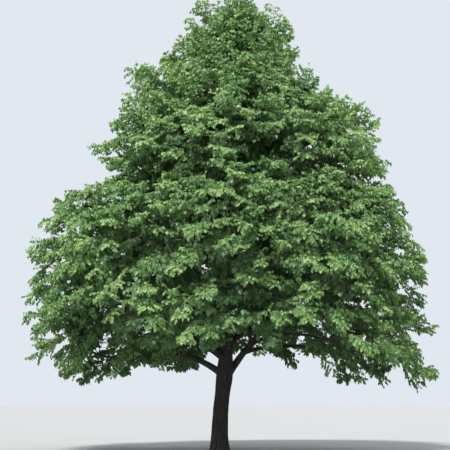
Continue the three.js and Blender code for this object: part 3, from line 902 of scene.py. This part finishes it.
def bark_tube(path, radius, relief, depth):
    """A closed tube of bark: rings square to a path, whose radius is lessened in the furrows."""
    heading = unit(np.gradient(path, axis=0))
    side = unit(np.cross(np.cross(heading, UP), heading))
    rise = np.cross(heading, side)
    angle = bearings(relief.shape[1])
    spokes = np.cos(angle)[:, None] * side[:, None] + np.sin(angle)[:, None] * rise[:, None]
    points = path[:, None] + (radius[:, None] * (1 - depth * (1 - relief)))[..., None] * spokes
    return close_grid(points, path[0], path[-1])


def close_grid(points, foot, top):
    """The faces of a ring grid, closed at both ends by fans to a middle point."""
    rings, sides = points.shape[:2]
    spoke = np.arange(sides)
    low_middle, high_middle = np.full(sides, rings * sides), np.full(sides, rings * sides + 1)
    low_fan = np.stack([low_middle, (spoke + 1) % sides, spoke], axis=1)
    last = (rings - 1) * sides
    high_fan = np.stack([high_middle, last + spoke, last + (spoke + 1) % sides], axis=1)
    faces = np.concatenate([ring_faces(rings, sides), low_fan, high_fan])
    return np.concatenate([points.reshape(-1, 3), [foot, top]]), faces


def join(parts):
    """Several (points, faces) in one."""
    offsets = np.cumsum([0] + [len(points) for points, _ in parts])
    points = np.concatenate([points for points, _ in parts])
    return points, np.concatenate([faces + at for (_, faces), at in zip(parts, offsets)])


def deal_out(counts, most):
    """Group numbers for counts in turn, so that no group's sum passes the most."""
    number, filled, groups = 0, 0, []
    for count in counts:
        if groups and filled + count > most:
            number, filled = number + 1, 0
        filled += count
        groups.append(number)
    return np.array(groups)


def make_piece(name, points, faces, materials, slot_name, face_slots=None, smooth=False, **attributes):
    """A mesh object at the origin from whole arrays, riding on the tree's only body."""
    mesh = bpy.data.meshes.new(name)
    mesh.vertices.add(len(points))
    mesh.vertices.foreach_set("co", np.ascontiguousarray(points, np.float32).ravel())
    mesh.loops.add(faces.size)
    mesh.loops.foreach_set("vertex_index", np.ascontiguousarray(faces, np.int32).ravel())
    mesh.polygons.add(len(faces))
    mesh.polygons.foreach_set("loop_start", np.arange(0, faces.size, 3, dtype=np.int32))
    if face_slots is not None:
        mesh.polygons.foreach_set("material_index", face_slots.astype(np.int32))
    mesh.polygons.foreach_set("use_smooth", np.full(len(faces), smooth))
    for key, values in attributes.items():
        mesh.attributes.new(key, "FLOAT", "POINT").data.foreach_set("value", values.astype(np.float32))
    for material in materials:
        mesh.materials.append(material)
    mesh.update(calc_edges=True)
    piece = bpy.data.objects.new(name, mesh)
    bpy.context.scene.collection.objects.link(piece)
    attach(piece, "root")
    return piece


class Value:
    """A shader value: Python expressions on it add the Math nodes that work them out."""

    def __init__(self, looks, socket):
        self.looks, self.socket = looks, socket

    def math(self, operation, first, second):
        """The value of a Math node."""
        return self.looks.node("ShaderNodeMath", {"operation": operation}, {0: first, 1: second})

    def __add__(self, other):
        return self.math("ADD", self, other)

    def __radd__(self, other):
        return self.math("ADD", other, self)

    def __mul__(self, other):
        return self.math("MULTIPLY", self, other)

    def __rmul__(self, other):
        return self.math("MULTIPLY", other, self)


class Looks:
    """One procedural material: its node tree, and the method that adds any node to it."""

    def __init__(self, name):
        self.material = bpy.data.materials.new(name)
        self.material.use_nodes = True
        self.tree = self.material.node_tree
        self.tree.nodes.clear()

    def node(self, kind, settings, sockets, output=0):
        """One output of a new node: its settings are set first, then its sockets' values or links."""
        made = self.tree.nodes.new(kind)
        for key, value in settings.items():
            if key == "stops":
                while len(made.color_ramp.elements) < len(value):
                    made.color_ramp.elements.new(1)
                for element, (position, tone) in zip(made.color_ramp.elements, value):
                    element.position, element.color = position, tone
            else:
                setattr(made, key, value)
        for key, value in sockets.items():
            if isinstance(value, Value):
                self.tree.links.new(value.socket, made.inputs[key])
            else:
                made.inputs[key].default_value = value
        return Value(self, made.outputs[output]) if made.outputs else None

    def noise(self, scale, detail, stretch=(1, 1, 1)):
        """Noise by place on the object, drawn out where the stretch is under 1."""
        place = self.node("ShaderNodeTexCoord", {}, {}, "Object")
        place = self.node("ShaderNodeMapping", {}, {"Vector": place, "Scale": stretch})
        return self.node("ShaderNodeTexNoise", {}, {"Vector": place, "Scale": scale, "Detail": detail})

    def blend(self, factor, first, second):
        """The colour a factor of the way from the first to the second."""
        sockets = {"Factor": factor, 6: first, 7: second}
        return self.node("ShaderNodeMix", {"data_type": "RGBA"}, sockets, output=2)

    def surface(self, **sockets):
        """The main shader, with an underscore for each space in its sockets' names."""
        named = {key.replace("_", " "): value for key, value in sockets.items()}
        return self.node("ShaderNodeBsdfPrincipled", {}, named)

    def finish(self, shader):
        """The finished material, once the shader is linked to its output."""
        self.node("ShaderNodeOutputMaterial", {}, {"Surface": shader})
        return self.material


def colour(value):
    """A stored colour as a tuple with alpha."""
    return (*value, 1.0)


def bark_looks(wood):
    """Bark: dark in the furrows, partly the bark's own tone and partly painted shade, and grey-brown on the
    ridges, with a green film in patches. All its colours are darkened as painted shade from the crown above.
    """
    looks = Looks("linden_bark")
    relief = looks.node("ShaderNodeAttribute", {"attribute_name": "relief"}, {}, "Fac")
    grain = looks.noise(scale=9, detail=6, stretch=(1, 1, 0.25))
    fleck = looks.noise(scale=46, detail=3)
    # Share of ridge colour by relief and grain: the ridges are lighter, and the furrows are darkened as
    # painted shade
    ridge_wear_and_furrow_shade = relief * (LEAST_RIDGE_TONE + grain)
    worn_and_furrow_shaded = looks.blend(ridge_wear_and_furrow_shade, colour(wood.furrow_colour_and_shade), colour(wood.ridge_colour))
    stops = [(FILM_FROM, (0, 0, 0, 1)), (FILM_FULL, (1, 1, 1, 1))]
    patch = looks.node("ShaderNodeValToRGB", {"stops": stops}, {"Fac": looks.noise(scale=2.2, detail=3)})
    film = looks.blend(patch, worn_and_furrow_shaded, colour(wood.film_colour))
    height = relief * BUMP_BY_RELIEF + fleck * BUMP_BY_FLECK + grain * BUMP_BY_GRAIN
    sockets = {"Height": height, "Strength": BUMP_STRENGTH, "Distance": BUMP_DISTANCE}
    bump = looks.node("ShaderNodeBump", {}, sockets, "Normal")
    rough = BARK_ROUGHNESS + WOOD_UNEVENNESS * fleck
    shader = looks.surface(Base_Color=film, Roughness=rough, Normal=bump, Specular_IOR_Level=BARK_SHINE)
    return looks.finish(shader)


def twig_looks(wood):
    """Young twigs: smooth red-brown to olive bark, by slow noise along them."""
    looks = Looks("linden_twig_bark")
    tone = looks.blend(looks.noise(scale=3, detail=2), colour(wood.twig_colour), colour(wood.shoot_colour))
    rough = TWIG_ROUGHNESS + WOOD_UNEVENNESS * looks.noise(scale=20, detail=2)
    return looks.finish(looks.surface(Base_Color=tone, Roughness=rough))


def leaf_looks(name, tint, share):
    """A leaf tint: a satin upper side of uneven gloss, and a share of light that comes through the blade."""
    looks = Looks(name)
    rough = LEAF_ROUGHNESS + LEAF_UNEVENNESS * looks.noise(scale=11, detail=2)
    satin = looks.surface(Base_Color=colour(tint), Roughness=rough, Specular_IOR_Level=LEAF_SHINE)
    glow = [min(1.0, GLOW_GAIN * part) for part in tint]
    through = looks.node("ShaderNodeBsdfTranslucent", {}, {"Color": colour(glow)})
    return looks.finish(looks.node("ShaderNodeMixShader", {}, {"Fac": share, 1: satin, 2: through}))


def floor_looks(stage):
    """A plain pale floor with faint clouds of tone."""
    looks = Looks("studio_floor")
    clouds = looks.noise(scale=0.2, detail=3)
    tone = looks.blend(clouds, colour(stage.floor_colour), colour(stage.floor_shade))
    return looks.finish(looks.surface(Base_Color=tone, Roughness=FLOOR_ROUGHNESS))


def count_setting(name, description, default, least, most):
    """A whole number that a user may change."""
    return bpy.props.IntProperty(name=name, description=description, default=default, min=least, max=most)


def number_setting(name, description, default, least, most, measure="NONE"):
    """A number that a user may change, with its unit of measure."""
    return bpy.props.FloatProperty(
        name=name, description=description, default=default, min=least, max=most, unit=measure
    )


def length_setting(name, description, default, least, most):
    """A length that a user may change."""
    return number_setting(name, description, default, least, most, "LENGTH")


def colour_setting(name, description, default):
    """A colour that a user may change."""
    return bpy.props.FloatVectorProperty(
        name=name, description=description, subtype="COLOR", size=3, min=0, max=1, default=default
    )


class LindenWood(bpy.types.PropertyGroup):
    """Sizes and colours of the bark and twigs."""

    trunk_sides: count_setting("Trunk sides", "Points round the trunk's bark", 96, 12, 160)
    trunk_rings: count_setting("Trunk rings", "Rings up the trunk and leader", 420, 20, 800)
    ridges: count_setting("Ridges", "Bark ridges round the trunk", 21, 3, 41)
    ridge_depth: number_setting(
        "Ridge depth", "Depth of the furrows, as a share of the radius", 0.085, 0, 0.3
    )
    # The bark's colours are kept very dark, partly its own grey-brown and partly painted shade from the
    # crown above; the near-black furrow colour is painted shade in the furrows
    furrow_colour_and_shade: colour_setting("Furrow", "Bark in the furrows", (0.008, 0.007, 0.006))
    ridge_colour: colour_setting("Ridge", "Bark on the ridges", (0.066, 0.060, 0.053))
    film_colour: colour_setting("Film", "Green film on old bark", (0.036, 0.039, 0.026))
    twig_colour: colour_setting("Twig", "Bark of older twigs", (0.034, 0.026, 0.019))
    shoot_colour: colour_setting("Shoot", "Bark of young shoots", (0.052, 0.047, 0.024))


class LindenCrown(bpy.types.PropertyGroup):
    """Sizes and tints of the foliage."""

    twigs: count_setting("Twigs", "Twigs in a mass", 12, 3, 24)
    plumes: count_setting("Plumes", "Plumes in the crown", 2700, 100, 6000)
    sprigs: count_setting("Sprigs", "Sprigs on a plume", 13, 3, 20)
    plume_length: length_setting("Plume length", "Length of a middling plume", 0.85, 0.2, 2)
    leaf_length: length_setting("Leaf length", "Length of a large leaf's blade", 0.104, 0.02, 0.3)
    # The deep tint goes only to inner plumes: partly the colour of shade leaves and partly painted shade
    deep_tint: colour_setting("Deep", "Old shaded leaves", (0.092, 0.17, 0.06))
    dark_tint: colour_setting("Dark", "Dark green leaves", (0.094, 0.183, 0.06))
    middle_tint: colour_setting("Middle", "Middling leaves", (0.100, 0.208, 0.056))
    light_tint: colour_setting("Light", "Light green leaves", (0.150, 0.270, 0.080))
    young_tint: colour_setting("Young", "Young yellow-green leaves", (0.225, 0.350, 0.118))
    glow: number_setting("Glow", "Share of the light that comes through a leaf", 0.3, 0, 1)


class LindenStage(bpy.types.PropertyGroup):
    """The camera's place, the floor and the light."""

    eye_height: length_setting("Eye height", "Camera height", 1.6, 0.1, 20)
    distance: length_setting("Distance", "Camera distance in front", 40, 5, 200)
    aside: length_setting("Aside", "Camera place to the right", 0.196, -20, 20)
    tilt: bpy.props.FloatProperty(
        name="Tilt", description="Camera tilt above the level", default=math.radians(8.14), subtype="ANGLE"
    )
    lens: number_setting("Lens", "Focal length in millimetres", 97.92, 10, 400)
    floor_colour: colour_setting("Floor", "Pale floor", (0.27, 0.27, 0.265))
    floor_shade: colour_setting("Floor shade", "Faint clouds on the floor", (0.245, 0.245, 0.24))
    backdrop: colour_setting("Backdrop", "Soft light from all round", (0.78, 0.83, 0.90))
    key: number_setting("Key", "Strength of the high soft light", 6.2, 0, 50)
    fill: number_setting("Fill", "Strength of the light all round", 0.97, 0, 5)
    rim: number_setting("Rim", "Strength of the light from behind", 1.2, 0, 50)


class LINDEN_OT_trunk(bpy.types.Operator):
    """Carve the trunk and leader as one ridged column from the flat cut to the leader's tip"""

    bl_idname = "linden.trunk"
    bl_label = "Trunk"

    def execute(self, context):
        wood = context.scene.linden_wood
        share = np.linspace(0, 1, wood.trunk_rings)
        z = share**RING_CROWDING * LEADER_TOP
        bearing = bearings(wood.trunk_sides)
        relief = bark_relief(bearing[None], z[:, None], wood.ridges)
        radius = trunk_radius(z[:, None], bearing[None])
        deep = wood.ridge_depth * (1 - LEADER_SMOOTHING * share[:, None])
        points = axis_at(z)[:, None] + (radius * (1 - deep * (1 - relief)))[..., None] * level_way(bearing)
        points, faces = close_grid(points, axis_at(0.0), axis_at(LEADER_TOP))
        tones = np.append(relief.ravel(), CAP_TONES)
        material = bark_looks(wood)
        piece = make_piece("trunk_bark", points, faces, [material], "bark", smooth=True, relief=tones)
        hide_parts("trunk")
        return {"FINISHED"}


class LINDEN_OT_boughs(bpy.types.Operator):
    """Carve the boughs as ridged limbs that grow out of the trunk and end inside their masses"""

    bl_idname = "linden.boughs"
    bl_label = "Boughs"

    def execute(self, context):
        boughs = plan_boughs(plan_masses())
        share = np.linspace(BOUGH_START, 1, BOUGH_RINGS)
        bearing = bearings(BOUGH_SIDES)
        parts, tones = [], []
        for n, (line, foot) in enumerate(zip(boughs.lines, boughs.feet)):
            chord = line[2] - line[0]
            run = np.linalg.norm(chord) * share
            relief = bark_relief(bearing[None], run[:, None] + n, BOUGH_RIDGES)
            sway = BOUGH_SWAY * foot * np.sin(BOUGH_SWAYS * run + n) * share * (1 - share)
            path = even_path(line, share) + sway[:, None] * unit(np.cross(chord, UP))
            parts.append(bark_tube(path, bough_taper(foot, share), relief, BOUGH_RIDGE_DEPTH))
            tones.append(np.append(relief.ravel(), CAP_TONES))
        points, faces = join(parts)
        relief = np.concatenate(tones)
        material = bpy.data.materials.get("linden_bark") or bark_looks(context.scene.linden_wood)
        piece = make_piece("bough_bark", points, faces, [material], "bark", smooth=True, relief=relief)
        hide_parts(*[f"bough_{n + 1:02d}" for n in range(MASS_COUNT)])
        return {"FINISHED"}


class LINDEN_OT_twigs(bpy.types.Operator):
    """Grow the stems, twigs, plumes and sprigs that carry the leaves"""

    bl_idname = "linden.twigs"
    bl_label = "Twigs"

    def execute(self, context):
        growth = grow(context.scene.linden_crown)
        stems, twigs, plumes, sprigs = growth.stems, growth.twigs, growth.plumes, growth.sprigs
        points, faces = join(
            [
                curve_tubes(stems.lines, stems.feet, STEM_TIP_RADIUS, STEM_RINGS, STEM_SIDES),
                curve_tubes(twigs.lines, TWIG_RADIUS, TWIG_TIP_RADIUS, TWIG_RINGS, TWIG_SIDES),
                curve_tubes(plumes.lines, PLUME_RADIUS, PLUME_TIP_RADIUS, PLUME_RINGS, PLUME_SIDES),
            ]
        )
        material = twig_looks(context.scene.linden_wood)
        make_piece("twigs", points, faces, [material], "bark", smooth=True)

        ends = np.stack([sprigs.root, sprigs.root + sprigs.way * sprigs.length[:, None]], axis=1)
        points, faces = tubes(ends, np.full(ends.shape[:2], SPRIG_RADIUS), SPRIG_SIDES)
        make_piece("sprigs", points, faces, [material], "bark", smooth=True)
        return {"FINISHED"}


class LINDEN_OT_leaves(bpy.types.Operator):
    """Hang the heart-shaped leaves on their sprigs, in tints that are dealt out by spray, darker inside the
    crown as painted shade and lighter outside and up high as painted light
    """

    bl_idname = "linden.leaves"
    bl_label = "Leaves"

    def execute(self, context):
        crown = context.scene.linden_crown
        growth = grow(crown)
        sprigs = growth.sprigs
        leaves = plan_leaves(growth.plumes, sprigs, crown.leaf_length)
        materials = [
            leaf_looks(f"leaf_{name}", getattr(crown, f"{name}_tint"), crown.glow) for name in TINTS
        ]
        by_sprig = chance(np.arange(len(sprigs.plume)), SEED + 42)
        tone = TONE_BY_PLUME * chance(sprigs.plume, SEED + 41) + TONE_BY_SPRIG * by_sprig
        tone = tone + TONE_BY_PLACE * sprigs.share
        # Lighter tints higher up, partly younger leaves and partly painted light
        tone = tone + YOUTH_AND_PAINTED_LIGHT_BY_HEIGHT * sprigs.root[:, 2] / TREE_HEIGHT + TONE_START
        # Darker tints for inner plumes, partly shade leaves and partly painted shade; lighter ones for outer
        # plumes, partly sun leaves and partly painted light
        inner = growth.plumes.inner[sprigs.plume]
        tone = np.where(inner, INNER_SHADE_LEAF_AND_PAINTED_SHADE * tone, lerp(OUTER_SUN_LEAF_AND_PAINTED_LIGHT, 1, tone))
        tints = np.clip((tone * len(TINTS)).astype(int), 0, len(TINTS) - 1)

        counts = np.bincount(leaves.mass, minlength=MASS_COUNT + 1)
        group = deal_out(counts, LARGEST_PIECE // len(LEAF_FACES))
        for number in range(group.max() + 1):
            chosen = np.nonzero(group[leaves.mass] == number)[0]
            faces = LEAF_FACES[None] + len(LEAF_OUTLINE) * np.arange(len(chosen))[:, None, None]
            piece = make_piece(
                f"leaves_{number + 1}",
                leaves.points[chosen].reshape(-1, 3),
                faces.reshape(-1, 3),
                materials,
                "leaf",
                face_slots=np.repeat(tints[leaves.sprig[chosen]], len(LEAF_FACES)),
            )
            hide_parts(*[f"foliage_{mass + 1:02d}" for mass in np.nonzero(group == number)[0]])
        return {"FINISHED"}


def add_sun(scene, name, strength, spread, turn):
    """A soft far light, with its strength, the angle that it spreads over, and its turn."""
    lamp = bpy.data.lights.new(name, "SUN")
    lamp.energy = strength
    lamp.angle = spread
    light = bpy.data.objects.new(name, lamp)
    light.rotation_euler = turn
    scene.collection.objects.link(light)


class LINDEN_OT_stage(bpy.types.Operator):
    """Lay the pale floor, set the soft lights and place the camera"""

    bl_idname = "linden.stage"
    bl_label = "Stage"

    def execute(self, context):
        scene = context.scene
        stage = scene.linden_stage
        points = FLOOR_RINGS[:, None, None] * level_way(bearings(FLOOR_SIDES)) - FLOOR_DROP * UP
        a, b, c, d = ring_corners(len(FLOOR_RINGS), FLOOR_SIDES)
        mesh = bpy.data.meshes.new("studio_floor")
        mesh.from_pydata(points.reshape(-1, 3).tolist(), [], np.stack([a, d, c, b], axis=1).tolist())
        mesh.materials.append(floor_looks(stage))
        floor = bpy.data.objects.new("studio_floor", mesh)
        scene.collection.objects.link(floor)

        world = bpy.data.worlds.new("studio_backdrop")
        world.use_nodes = True
        shade = world.node_tree.nodes["Background"]
        shade.inputs["Color"].default_value = colour(stage.backdrop)
        shade.inputs["Strength"].default_value = stage.fill
        scene.world = world
        add_sun(scene, "key_light", stage.key, KEY_SPREAD, KEY_TURN)
        add_sun(scene, "rim_light", stage.rim, RIM_SPREAD, RIM_TURN)

        camera = bpy.data.cameras.new("front_camera")
        camera.lens = stage.lens
        camera.sensor_width = SENSOR_WIDTH
        camera.clip_end = VIEW_END
        view = bpy.data.objects.new("front_camera", camera)
        view.location = (stage.aside, -stage.distance, stage.eye_height)
        view.rotation_euler = (math.pi / 2 + stage.tilt, 0, 0)
        scene.collection.objects.link(view)
        scene.camera = view
        scene.view_settings.view_transform = "Standard"
        return {"FINISHED"}


class LINDEN_PT_panel(bpy.types.Panel):
    """The linden's pieces and settings"""

    bl_label = "Linden"
    bl_idname = "LINDEN_PT_panel"
    bl_space_type = "VIEW_3D"
    bl_region_type = "UI"
    bl_category = "Linden"

    def draw(self, context):
        for operator in OPERATORS:
            self.layout.operator(operator.bl_idname)
        for name in SETTINGS:
            group = getattr(context.scene, name)
            box = self.layout.box()
            for key in group.bl_rna.properties.keys():
                if key not in ("rna_type", "name"):
                    box.prop(group, key)


OPERATORS = [LINDEN_OT_stage, LINDEN_OT_trunk, LINDEN_OT_boughs, LINDEN_OT_twigs, LINDEN_OT_leaves]
SETTINGS = {"linden_wood": LindenWood, "linden_crown": LindenCrown, "linden_stage": LindenStage}
CLASSES = [*SETTINGS.values(), *OPERATORS, LINDEN_PT_panel]


def register():
    """Add the classes, and the settings to the scene."""
    for cls in CLASSES:
        bpy.utils.register_class(cls)
    for name, group in SETTINGS.items():
        setattr(bpy.types.Scene, name, bpy.props.PointerProperty(type=group))


def unregister():
    """Take them away again."""
    for name in SETTINGS:
        delattr(bpy.types.Scene, name)
    for cls in reversed(CLASSES):
        bpy.utils.unregister_class(cls)


def main():
    """Grow the whole tree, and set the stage."""
    register()
    bpy.ops.linden.stage()
    bpy.ops.linden.trunk()
    bpy.ops.linden.boughs()
    bpy.ops.linden.twigs()
    bpy.ops.linden.leaves()
    bpy.context.view_layer.update()


if __name__ == "__main__":
    main()
